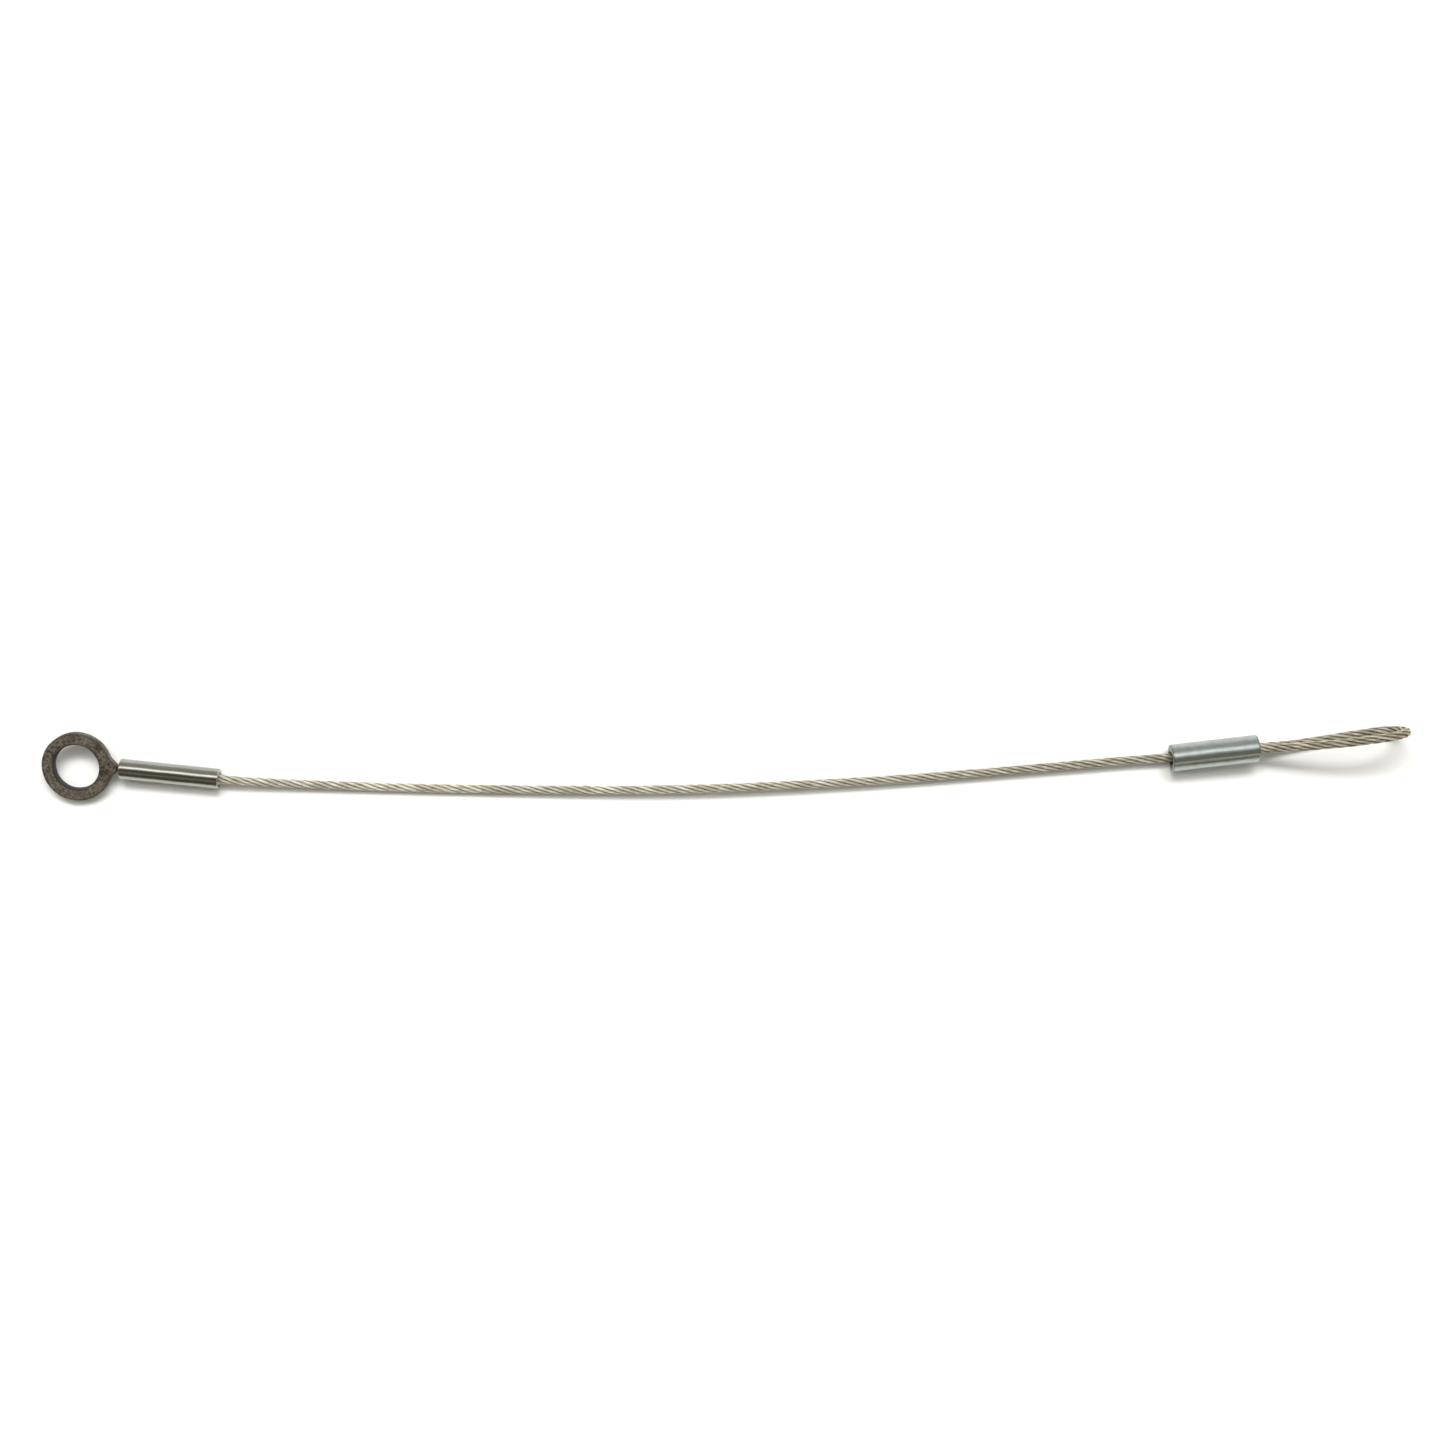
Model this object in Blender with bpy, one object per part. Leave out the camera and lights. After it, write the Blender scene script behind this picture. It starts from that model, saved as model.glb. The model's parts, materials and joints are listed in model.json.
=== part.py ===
"""Wire rope tether: a flat ring eye on a swaged barrel, a thin wire rope, and a soft loop held by a crimp ferrule.

Metres, +Z up. The tether lies on the plane z = 0, with its ring eye towards -X and its loop towards +X.
The origin is on that plane, under the middle of the box round the three metal fittings.
"""
import math

import bmesh
import bpy
import numpy as np
from mathutils import Euler, Matrix, Vector

# Rope
ROPE_DIAMETER = 0.00165
RUN_STEP = 0.0046             # distance between tube points along the open run
LOOP_STEP = 0.0023            # and round the loop, where the rope bends most

# Ring eye: a flat ring with a pointed neck, and a round stem that the barrel is swaged on
EYE_OUTER_DIAMETER = 0.0127
EYE_HOLE_DIAMETER = 0.0083
EYE_THICKNESS = 0.0018
EYE_EDGE_CHAMFER = 0.00015
EYE_OFFSET = -0.00038         # ring centre beside the barrel's axis
EYE_ROLL = math.radians(13.0)  # the ring leans about the barrel's axis, its +Y side up
NECK_LENGTH = 0.00120         # from the ring's rim to the neck's tip
NECK_TIP_WIDTH = 0.0007
NECK_UPPER_ANGLE = math.radians(20.0)   # where the neck's straight +Y side leaves the ring
NECK_LOWER_ANGLE = math.radians(-14.0)  # and its -Y side
STEM_DEPTH = 0.0038           # how far the stem goes into the barrel

# Barrel: a plain tube swaged on the stem and on the rope's end
BARREL_DIAMETER = 0.00375
BARREL_LENGTH = 0.0182
BARREL_NOSE_CHAMFER = 0.00035
BARREL_MOUTH_CHAMFER = 0.00018
BARREL_HEADING = math.radians(-5.9)     # about +Z, from the eye to the rope
BARREL_MOUTH_XY = (-0.0792, -0.0023)    # centre of the end that the rope leaves

# Crimp ferrule: a round sleeve with one bore for two legs of the rope
FERRULE_DIAMETER = 0.0050
FERRULE_LENGTH = 0.0160
FERRULE_CHAMFER = 0.00022
FERRULE_CENTRE_XY = (0.1033, 0.00243)
FERRULE_HEADING = math.radians(6.6)
FERRULE_RISE = math.radians(2.0)        # its loop end is lifted by the loop
FERRULE_ROLL = math.radians(6.0)        # the plane of the two legs leans, its upper leg towards -Y
TAIL_SETBACK = 0.0010         # the rope's cut end, short of the sleeve's end

# Clearances
SWAGE_GAP = 0.00014           # rope or stem to the bore round it
LEG_GAP = 0.00018             # between the two rope legs in the ferrule
BUTT_GAP = 0.0003             # neck tip to barrel, and stem end to rope end

ROUND_STEPS = 64
EYE_STEPS = 120

# The open run of the rope, from the barrel's mouth to the ferrule (centre of the rope)
RUN_ROUTE = [
    (-0.0744, -0.00270, 0.00166),
    (-0.0635, -0.00328, 0.00118),
    (-0.0520, -0.00372, 0.00094),
    (-0.0400, -0.00405, 0.00088),
    (-0.0267, -0.00423, 0.00102),
    (-0.0083, -0.00434, 0.00138),
    (0.0102, -0.00406, 0.00164),
    (0.0286, -0.00331, 0.00156),
    (0.0470, -0.00226, 0.00138),
    (0.0654, -0.00080, 0.00136),
    (0.0800, 0.00042, 0.00145),
    (0.0898, 0.00122, 0.00152),
]
# The loop, out along the floor and back over itself (centre of the rope)
LOOP_ROUTE = [
    (0.1154, 0.00376, 0.00182),
    (0.1202, 0.00433, 0.00126),
    (0.1256, 0.00515, 0.00095),
    (0.1300, 0.00586, 0.00089),
    (0.13385, 0.00641, 0.00098),
    (0.13580, 0.00659, 0.00152),
    (0.13723, 0.00661, 0.00292),
    (0.13770, 0.00645, 0.00480),
    (0.13720, 0.00618, 0.00666),
    (0.13580, 0.00584, 0.00803),
    (0.13385, 0.00545, 0.00855),
    (0.1309, 0.00501, 0.00852),
    (0.1282, 0.00463, 0.00813),
    (0.1246, 0.00422, 0.00738),
    (0.1196, 0.00374, 0.00600),
    (0.1154, 0.00343, 0.00481),
]


def clear_scene():
    for obj in list(bpy.data.objects):
        bpy.data.objects.remove(obj, do_unlink=True)


def metal(name, colour, roughness, metallic=1.0):
    material = bpy.data.materials.new(name)
    material.use_nodes = True
    shader = material.node_tree.nodes["Principled BSDF"]
    shader.inputs["Base Color"].default_value = (*colour, 1.0)
    shader.inputs["Roughness"].default_value = roughness
    shader.inputs["Metallic"].default_value = metallic
    return material


def ring_of_loops(bm, loops):
    """Join closed loops of points, first to second and so on, and the last back to the first."""
    rows = [[bm.verts.new(point) for point in loop] for loop in loops]
    count = len(rows[0])
    for row, following in zip(rows, rows[1:] + rows[:1]):
        for i in range(count):
            j = (i + 1) % count
            bm.faces.new((row[i], row[j], following[j], following[i]))


def add_object(name, bm, placement, material):
    bmesh.ops.recalc_face_normals(bm, faces=bm.faces)
    mesh = bpy.data.meshes.new(name)
    bm.to_mesh(mesh)
    bm.free()
    mesh.shade_smooth()
    mesh.set_sharp_from_angle(angle=math.radians(30.0))
    mesh.materials.append(material)
    obj = bpy.data.objects.new(name, mesh)
    obj.matrix_world = placement
    bpy.context.scene.collection.objects.link(obj)
    return obj


# Placing: the barrel's frame starts at its nose, the ferrule's at its middle, both with +X along the rope

def eye_centre_height():
    """Height of the leaning ring's centre when its rim touches the floor."""
    return (EYE_OUTER_DIAMETER * math.sin(EYE_ROLL) + EYE_THICKNESS * math.cos(EYE_ROLL)) / 2


def eye_reach():
    """From the barrel's nose back to the ring's centre."""
    return EYE_OUTER_DIAMETER / 2 + NECK_LENGTH + BUTT_GAP


def barrel_frame():
    axis_height_at_eye = eye_centre_height() - EYE_OFFSET * math.sin(EYE_ROLL)
    span = eye_reach() + BARREL_LENGTH
    mouth_height = BARREL_DIAMETER / 2
    fall = math.asin((axis_height_at_eye - mouth_height) / span)
    turn = Euler((EYE_ROLL, fall, BARREL_HEADING), "XYZ").to_matrix().to_4x4()
    mouth = Vector((*BARREL_MOUTH_XY, mouth_height))
    nose = mouth - turn.to_3x3() @ Vector((BARREL_LENGTH, 0, 0))
    return Matrix.Translation(nose) @ turn


def ferrule_frame():
    turn = Euler((FERRULE_ROLL, -FERRULE_RISE, FERRULE_HEADING), "XYZ").to_matrix().to_4x4()
    half_lift = FERRULE_LENGTH / 2 * math.sin(FERRULE_RISE)
    height = FERRULE_DIAMETER / 2 * math.cos(FERRULE_RISE) + half_lift
    return Matrix.Translation((*FERRULE_CENTRE_XY, height)) @ turn


# Outlines, each as the distance from a centre at an angle

def line_distance(angle, start, end):
    """Distance from the origin, along a ray at the angle, to the line through two points."""
    normal = Vector((end[1] - start[1], start[0] - end[0]))
    ray = Vector((math.cos(angle), math.sin(angle)))
    facing = normal.dot(ray)
    return normal.dot(Vector(start)) / facing if abs(facing) > 1e-9 else math.inf


def eye_outline(angle):
    """The ring's rim, drawn out into the pointed neck on its barrel side."""
    rim = EYE_OUTER_DIAMETER / 2
    if not NECK_LOWER_ANGLE < angle < NECK_UPPER_ANGLE:
        return rim
    tip_x = rim + NECK_LENGTH
    tip_top = (tip_x, -EYE_OFFSET + NECK_TIP_WIDTH / 2)
    tip_bottom = (tip_x, -EYE_OFFSET - NECK_TIP_WIDTH / 2)
    upper = (rim * math.cos(NECK_UPPER_ANGLE), rim * math.sin(NECK_UPPER_ANGLE))
    lower = (rim * math.cos(NECK_LOWER_ANGLE), rim * math.sin(NECK_LOWER_ANGLE))
    sides = [
        line_distance(angle, tip_top, upper),
        line_distance(angle, lower, tip_bottom),
        line_distance(angle, tip_bottom, tip_top),
    ]
    return max(rim, min(sides))


def slot_outline(angle, radius, pitch):
    """A slot with round ends, standing along local Z: the bore round the two rope legs."""
    across, along = abs(math.cos(angle)), abs(math.sin(angle))
    half_pitch = pitch / 2
    if across * half_pitch >= along * radius:
        return radius / across
    return half_pitch * along + math.sqrt(radius ** 2 - (half_pitch * across) ** 2)


def turned_loop(x, outline, steps=ROUND_STEPS):
    """A closed loop round local X, from an outline in the YZ plane."""
    angles = [2 * math.pi * i / steps for i in range(steps)]
    return [(x, outline(a) * math.cos(a), outline(a) * math.sin(a)) for a in angles]


# Sub-parts

def leg_pitch():
    return ROPE_DIAMETER + LEG_GAP


def bore_radius():
    return ROPE_DIAMETER / 2 + SWAGE_GAP


def chamfer_within(wall, chamfer):
    """A chamfer, or as much of it as a thin wall has room for beside the bore's own lip."""
    return min(chamfer, 0.4 * wall)


def make_stem(frame, material):
    """The round stem, growing out of the neck and going into the barrel."""
    radius = bore_radius() - SWAGE_GAP
    root = -BUTT_GAP - 1.2 * radius
    end_chamfer = 0.2 * radius
    profile = [
        (root, 0.3 * radius),
        (-BUTT_GAP, radius),
        (STEM_DEPTH - end_chamfer, radius),
        (STEM_DEPTH, radius - end_chamfer),
    ]
    bm = bmesh.new()
    rows = []
    for x, r in profile:
        rows.append([bm.verts.new(p) for p in turned_loop(x, lambda a, r=r: r, 32)])
    for row, following in zip(rows, rows[1:]):
        for i in range(32):
            j = (i + 1) % 32
            bm.faces.new((row[i], row[j], following[j], following[i]))
    bm.faces.new(rows[0])
    bm.faces.new(rows[-1])
    stem = add_object("stem_tool", bm, frame, material)
    stem.hide_render = True
    stem.display_type = "WIRE"
    return stem


def make_eye(frame):
    material = metal("heat_darkened_steel", (0.12, 0.10, 0.085), 0.62, 0.85)
    half = EYE_THICKNESS / 2
    hole = EYE_HOLE_DIAMETER / 2
    c = EYE_EDGE_CHAMFER
    angles = [2 * math.pi * i / EYE_STEPS - math.pi for i in range(EYE_STEPS)]

    def loop(inset, height, on_rim):
        points = []
        for angle in angles:
            r = eye_outline(angle) - inset if on_rim else hole + inset
            points.append((r * math.cos(angle), r * math.sin(angle), height))
        return points

    bm = bmesh.new()
    ring_of_loops(bm, [
        loop(c, half, False), loop(c, half, True), loop(0, half - c, True), loop(0, c - half, True),
        loop(c, -half, True), loop(c, -half, False), loop(0, c - half, False), loop(0, half - c, False),
    ])
    eye = add_object("eye_ring", bm, frame @ Matrix.Translation((-eye_reach(), EYE_OFFSET, 0)), material)
    union = eye.modifiers.new("stem", "BOOLEAN")
    union.operation = "UNION"
    union.solver = "EXACT"
    union.object = make_stem(frame, material)
    return eye


def make_barrel(frame):
    material = metal("satin_stainless", (0.52, 0.51, 0.48), 0.28)
    outer = BARREL_DIAMETER / 2
    bore = bore_radius()
    nose = chamfer_within(outer - bore, BARREL_NOSE_CHAMFER)
    mouth = chamfer_within(outer - bore, BARREL_MOUTH_CHAMFER)
    lip = mouth / 2
    profile = [
        (0.0, outer - nose), (nose, outer), (BARREL_LENGTH - mouth, outer), (BARREL_LENGTH, outer - mouth),
        (BARREL_LENGTH, bore + lip), (BARREL_LENGTH - lip, bore), (lip, bore), (0.0, bore + lip),
    ]
    bm = bmesh.new()
    ring_of_loops(bm, [turned_loop(x, lambda a, r=r: r) for x, r in profile])
    return add_object("barrel", bm, frame, material)


def make_ferrule(frame):
    material = metal("zinc_plate", (0.56, 0.60, 0.60), 0.32)
    outer = FERRULE_DIAMETER / 2
    bore = bore_radius()
    end = FERRULE_LENGTH / 2
    c = chamfer_within(outer - bore - leg_pitch() / 2, FERRULE_CHAMFER)
    lip = c / 2

    def slot(radius):
        return lambda a: slot_outline(a, radius, leg_pitch())

    loops = [
        turned_loop(-end, lambda a: outer - c), turned_loop(c - end, lambda a: outer),
        turned_loop(end - c, lambda a: outer), turned_loop(end, lambda a: outer - c),
        turned_loop(end, slot(bore + lip)), turned_loop(end - lip, slot(bore)),
        turned_loop(lip - end, slot(bore)), turned_loop(-end, slot(bore + lip)),
    ]
    bm = bmesh.new()
    ring_of_loops(bm, loops)
    return add_object("crimp_ferrule", bm, frame, material)


def rope_route(barrel, ferrule):
    """The route's points: through the barrel, along the run, through the ferrule, round the loop and back."""
    rope_end = STEM_DEPTH + BUTT_GAP
    inside = [rope_end, (rope_end + BARREL_LENGTH) / 2, BARREL_LENGTH]
    route = [barrel @ Vector((x, 0, 0)) for x in inside]
    route += [Vector(p) for p in RUN_ROUTE]
    end, leg = FERRULE_LENGTH / 2, leg_pitch() / 2
    route += [ferrule @ Vector((x, 0, -leg)) for x in (-end, 0, end)]
    route += [Vector(p) for p in LOOP_ROUTE]
    route += [ferrule @ Vector((x, 0, leg)) for x in (end, 0, TAIL_SETBACK - end)]
    return route


def smooth_curve(points, per_span=24):
    """A cubic spline through the points, each read against its distance along them."""
    points = np.array([tuple(p) for p in points])
    knots = np.concatenate([[0.0], np.cumsum(np.linalg.norm(np.diff(points, axis=0), axis=1))])
    gaps = np.diff(knots)
    count = len(points)
    system, right = np.eye(count), np.zeros((count, 3))
    for i in range(1, count - 1):
        system[i, i - 1:i + 2] = gaps[i - 1], 2 * (gaps[i - 1] + gaps[i]), gaps[i]
        slope_after = (points[i + 1] - points[i]) / gaps[i]
        slope_before = (points[i] - points[i - 1]) / gaps[i - 1]
        right[i] = 6 * (slope_after - slope_before)
    bend = np.linalg.solve(system, right)
    curve = []
    for i, gap in enumerate(gaps):
        for t in np.linspace(0.0, 1.0, per_span, endpoint=False):
            a, b = 1 - t, t
            along = a * points[i] + b * points[i + 1]
            bulge = (a ** 3 - a) * bend[i] + (b ** 3 - b) * bend[i + 1]
            curve.append(along + bulge * gap ** 2 / 6)
    curve.append(points[-1])
    return np.array(curve)


def tube_points(curve, loop_starts_at):
    """Points along the curve, a long step apart on the run and a short one round the loop."""
    run = np.concatenate([[0.0], np.cumsum(np.linalg.norm(np.diff(curve, axis=0), axis=1))])

    def at(distance):
        return np.array([np.interp(distance, run, curve[:, axis]) for axis in range(3)])

    points, distance = [], 0.0
    while distance < run[-1] - LOOP_STEP / 2:
        points.append(at(distance))
        distance += RUN_STEP if points[-1][0] < loop_starts_at else LOOP_STEP
    points.append(curve[-1])
    return points


def make_rope(barrel, ferrule):
    curve = smooth_curve(rope_route(barrel, ferrule))
    loop_start = (ferrule @ Vector((FERRULE_LENGTH / 2 - RUN_STEP, 0, 0))).x
    points = tube_points(curve, loop_start)
    data = bpy.data.curves.new("wire_rope", "CURVE")
    data.dimensions = "3D"
    data.bevel_depth = ROPE_DIAMETER / 2
    data.bevel_resolution = 2
    data.use_fill_caps = True
    spline = data.splines.new("POLY")
    spline.points.add(len(points) - 1)
    for slot, point in zip(spline.points, points):
        slot.co = (*point, 1.0)
    data.materials.append(metal("rope_wire", (0.50, 0.47, 0.40), 0.42))
    rope = bpy.data.objects.new("wire_rope", data)
    bpy.context.scene.collection.objects.link(rope)
    return rope


def main():
    clear_scene()
    barrel, ferrule = barrel_frame(), ferrule_frame()
    make_eye(barrel)
    make_barrel(barrel)
    make_ferrule(ferrule)
    make_rope(barrel, ferrule)


main()
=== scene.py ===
"""Looks of a small wire rope tether: a flat ring eye, a swaged barrel, a 7x7 wire rope and a crimped loop."""
import json
import math

import bmesh
import bpy
import numpy as np
from mathutils import Euler, Matrix, Vector, noise


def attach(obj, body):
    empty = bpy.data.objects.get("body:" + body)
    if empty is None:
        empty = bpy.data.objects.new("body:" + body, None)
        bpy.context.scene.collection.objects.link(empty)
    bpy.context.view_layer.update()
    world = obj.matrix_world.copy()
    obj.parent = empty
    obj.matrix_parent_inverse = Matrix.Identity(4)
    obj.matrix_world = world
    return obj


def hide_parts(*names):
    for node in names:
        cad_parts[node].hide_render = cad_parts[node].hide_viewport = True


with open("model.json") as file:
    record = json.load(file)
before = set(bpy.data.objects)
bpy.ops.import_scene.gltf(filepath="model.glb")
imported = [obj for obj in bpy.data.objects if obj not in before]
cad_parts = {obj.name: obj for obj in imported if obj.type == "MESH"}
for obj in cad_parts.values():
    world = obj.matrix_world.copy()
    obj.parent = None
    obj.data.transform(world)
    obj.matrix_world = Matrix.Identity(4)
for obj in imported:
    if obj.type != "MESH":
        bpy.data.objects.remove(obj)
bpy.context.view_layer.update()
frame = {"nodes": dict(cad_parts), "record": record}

# Sizes that the CAD model's pieces share with these, in metres
ROPE_DIAMETER = 0.00165
LEG_GAP = 0.00018
SWAGE_GAP = 0.00014
BUTT_GAP = 0.0003
EYE_OUTER_DIAMETER = 0.0127
EYE_HOLE_DIAMETER = 0.0083
EYE_THICKNESS = 0.0018
EYE_OFFSET = -0.00038
NECK_LENGTH = 0.00120
NECK_TIP_WIDTH = 0.0007
NECK_UPPER_ANGLE = math.radians(20.0)
NECK_LOWER_ANGLE = math.radians(-14.0)
STEM_DEPTH = 0.0038
BARREL_DIAMETER = 0.00375
FERRULE_DIAMETER = 0.0050
FERRULE_ROLL = math.radians(6.0)
TAIL_SETBACK = 0.0010

# Small shapes that only the looks have, in metres and degrees
EYE_EDGE_ROUND = 0.00032
EYE_WAVER, EYE_WAVER_SIZE, EYE_WAVER_SEED = 0.00004, 0.0021, 3
NOSE_ROUND = 0.00030
MOUTH_LIP = 0.00022
BARREL_WAVER = 0.000012
FERRULE_EDGE_ROUND = 0.00036
SLOT_LIP = 0.00012
FERRULE_WAVER = 0.000012
FERRULE_INSET = 0.00002
FLASH_ANGLE = 109.0
FLASH_HALF_WIDTH = 4.0
FLASH_HEIGHT = 0.00005

# Steps round each piece, and how near two measures count as the same
EYE_STEPS, BARREL_STEPS, FERRULE_STEPS, STEM_STEPS = 288, 96, 288, 32
NEAR = 1e-6

# The rope's route between its fittings, as in the CAD model
RUN_ROUTE = [
    (-0.0744, -0.00270, 0.00166),
    (-0.0635, -0.00328, 0.00118),
    (-0.0520, -0.00372, 0.00094),
    (-0.0400, -0.00405, 0.00088),
    (-0.0267, -0.00423, 0.00102),
    (-0.0083, -0.00434, 0.00138),
    (0.0102, -0.00406, 0.00164),
    (0.0286, -0.00331, 0.00156),
    (0.0470, -0.00226, 0.00138),
    (0.0654, -0.00080, 0.00136),
    (0.0800, 0.00042, 0.00145),
    (0.0898, 0.00122, 0.00152),
]
LOOP_ROUTE = [
    (0.1154, 0.00376, 0.00182),
    (0.1202, 0.00433, 0.00126),
    (0.1256, 0.00515, 0.00095),
    (0.1300, 0.00586, 0.00089),
    (0.13385, 0.00641, 0.00098),
    (0.13580, 0.00659, 0.00152),
    (0.13723, 0.00661, 0.00292),
    (0.13770, 0.00645, 0.00480),
    (0.13720, 0.00618, 0.00666),
    (0.13580, 0.00584, 0.00803),
    (0.13385, 0.00545, 0.00855),
    (0.1309, 0.00501, 0.00852),
    (0.1282, 0.00463, 0.00813),
    (0.1246, 0.00422, 0.00738),
    (0.1196, 0.00374, 0.00600),
    (0.1154, 0.00343, 0.00481),
]

# The rope's make-up: strands laid right-handed round a core strand, and wires left-handed in each
STRANDS = 6
WIRES = 6
STRAND_DIAMETER = ROPE_DIAMETER / 3
WIRE_DIAMETER = STRAND_DIAMETER / 3
ROPE_LAY = 0.01285
STRAND_LAY = 0.0046
WIRE_STEP = 0.00025
WIRE_SIDES, CORE_WIRE_SIDES = 6, 5
FIRST_SEED, CORE_SEED = 11, 31
LOOP_END_X = 0.130

# The room
FLOOR_HALF = 0.9
LAMP_DISTANCE = 3.0
CAMERA_PLACE = (0.0132, 0.00804, 0.3705)
CAMERA_LENS, CAMERA_SENSOR = 50.0, 36.0


# ---------------------------------------------------------------- places

def axis_frame(node, roll=0.0):
    """A frame at the start of a turned node's axis, +X along the axis, and the length along it."""
    mesh = frame["nodes"][node].data
    points = np.unique(np.round([v.co for v in mesh.vertices], 7), axis=0)
    middle = points.mean(axis=0)
    axis = np.linalg.svd(points - middle, full_matrices=False)[2][0]
    axis = axis if axis[0] > 0 else -axis
    along = (points - middle) @ axis
    start = Vector(middle + axis * along.min())
    x = Vector(axis)
    y = Vector((0, 0, 1)).cross(x).normalized()
    turn = Matrix((x, y, x.cross(y))).transposed().to_4x4()
    return Matrix.Translation(start) @ turn @ Matrix.Rotation(roll, 4, "X"), float(np.ptp(along))


def eye_roll(barrel):
    """How far the ring's flat face leans about the barrel's axis."""
    face = next(m for m in frame["record"]["mounts"] if m["name"] == "eye_upper_face")
    normal = barrel.to_3x3().inverted() @ Vector(face["axis"])
    return math.atan2(-normal.y, normal.z)


# ---------------------------------------------------------------- the rope's line

def rope_route(barrel, barrel_length, ferrule, ferrule_length):
    """Points from the stem's end, out of the barrel, through the ferrule, round the loop and back into it."""
    rope_end = STEM_DEPTH + BUTT_GAP
    inside = [rope_end, (rope_end + barrel_length) / 2, barrel_length]
    route = [barrel @ Vector((x, 0, 0)) for x in inside]
    route += [Vector(p) for p in RUN_ROUTE]
    end, leg = ferrule_length, (ROPE_DIAMETER + LEG_GAP) / 2
    route += [ferrule @ Vector((x, 0, -leg)) for x in (0, end / 2, end)]
    route += [Vector(p) for p in LOOP_ROUTE]
    route += [ferrule @ Vector((x, 0, leg)) for x in (end, end / 2, TAIL_SETBACK)]
    return route


def smooth_curve(points, per_span=60):
    """A cubic spline through the points, each read against its distance along them."""
    points = np.array([tuple(p) for p in points])
    knots = np.concatenate([[0.0], np.cumsum(np.linalg.norm(np.diff(points, axis=0), axis=1))])
    gaps = np.diff(knots)
    count = len(points)
    system, right = np.eye(count), np.zeros((count, 3))
    for i in range(1, count - 1):
        system[i, i - 1:i + 2] = gaps[i - 1], 2 * (gaps[i - 1] + gaps[i]), gaps[i]
        slope_after = (points[i + 1] - points[i]) / gaps[i]
        slope_before = (points[i] - points[i - 1]) / gaps[i - 1]
        right[i] = 6 * (slope_after - slope_before)
    bend = np.linalg.solve(system, right)
    curve = []
    for i, gap in enumerate(gaps):
        for t in np.linspace(0.0, 1.0, per_span, endpoint=False):
            a, b = 1 - t, t
            bulge = (a ** 3 - a) * bend[i] + (b ** 3 - b) * bend[i + 1]
            curve.append(a * points[i] + b * points[i + 1] + bulge * gap ** 2 / 6)
    curve.append(points[-1])
    return np.array(curve)


def evenly(curve, step):
    """Points at one even step along a curve, and the curve's length."""
    run = np.concatenate([[0.0], np.cumsum(np.linalg.norm(np.diff(curve, axis=0), axis=1))])
    at = np.linspace(0.0, run[-1], round(run[-1] / step) + 1)
    return np.stack([np.interp(at, run, curve[:, axis]) for axis in range(3)], axis=1), float(run[-1])


# ---------------------------------------------------------------- shader helpers

class Shading:
    """Short hand for adding and linking shader nodes in a tree."""

    def __init__(self, tree):
        self.tree = tree

    def add(self, kind, inputs=None, **settings):
        node = self.tree.nodes.new(kind)
        for key, value in settings.items():
            setattr(node, key, value)
        for key, value in (inputs or {}).items():
            self.set(node, key, value)
        return node

    def set(self, node, key, value):
        socket = node.inputs[key]
        if isinstance(value, bpy.types.NodeSocket):
            self.tree.links.new(value, socket)
        else:
            socket.default_value = value

    def maths(self, operation, a, b=0.0, clamp=False):
        node = self.add("ShaderNodeMath", operation=operation, use_clamp=clamp)
        self.set(node, 0, a)
        self.set(node, 1, b)
        return node.outputs[0]

    def noise(self, vector, scale, detail=3.0, roughness=0.55):
        inputs = {"Vector": vector, "Scale": scale, "Detail": detail, "Roughness": roughness}
        return self.add("ShaderNodeTexNoise", inputs).outputs["Fac"]

    def spread(self, value, low, high, to_low=0.0, to_high=1.0):
        inputs = {"Value": value, "From Min": low, "From Max": high, "To Min": to_low, "To Max": to_high}
        return self.add("ShaderNodeMapRange", inputs, clamp=True).outputs["Result"]

    def mix(self, factor, first, second):
        node = self.add("ShaderNodeMix", data_type="RGBA")
        self.set(node, 0, factor)
        self.set(node, 6, first)
        self.set(node, 7, second)
        return node.outputs[2]

    def group(self, tree, inputs):
        node = self.add("ShaderNodeGroup", node_tree=tree)
        for key, value in inputs.items():
            self.set(node, key, value)
        return node.outputs


def shader_group(name, inputs, outputs):
    """A shader node group with named sockets. inputs are (name, kind, default)."""
    tree = bpy.data.node_groups.new(name, "ShaderNodeTree")
    for label, kind, default in inputs:
        socket = tree.interface.new_socket(label, in_out="INPUT", socket_type=kind)
        if default is not None:
            socket.default_value = default
    for label, kind in outputs:
        tree.interface.new_socket(label, in_out="OUTPUT", socket_type=kind)
    s = Shading(tree)
    return s, s.add("NodeGroupInput").outputs, s.add("NodeGroupOutput")


def grain_group():
    """Fine pits and broad mottling of a rough metal skin."""
    s, given, out = shader_group(
        "metal grain",
        [("Vector", "NodeSocketVector", None), ("Grain Size", "NodeSocketFloat", 0.0002),
         ("Mottle Size", "NodeSocketFloat", 0.002)],
        [("Height", "NodeSocketFloat"), ("Speckle", "NodeSocketFloat"), ("Mottle", "NodeSocketFloat")],
    )
    fine_scale = s.maths("DIVIDE", 1.0, given["Grain Size"])
    broad_scale = s.maths("DIVIDE", 1.0, given["Mottle Size"])
    fine = s.noise(given["Vector"], fine_scale, 4.0, 0.65)
    coarse = s.noise(given["Vector"], s.maths("MULTIPLY", fine_scale, 0.35), 2.0, 0.5)
    height = s.maths("ADD", s.maths("MULTIPLY", fine, 0.6), s.maths("MULTIPLY", coarse, 0.4))
    s.set(out, "Height", height)
    s.set(out, "Speckle", s.spread(fine, 0.36, 0.66))
    s.set(out, "Mottle", s.spread(s.noise(given["Vector"], broad_scale, 3.0, 0.6), 0.32, 0.68))
    return s.tree


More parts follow.
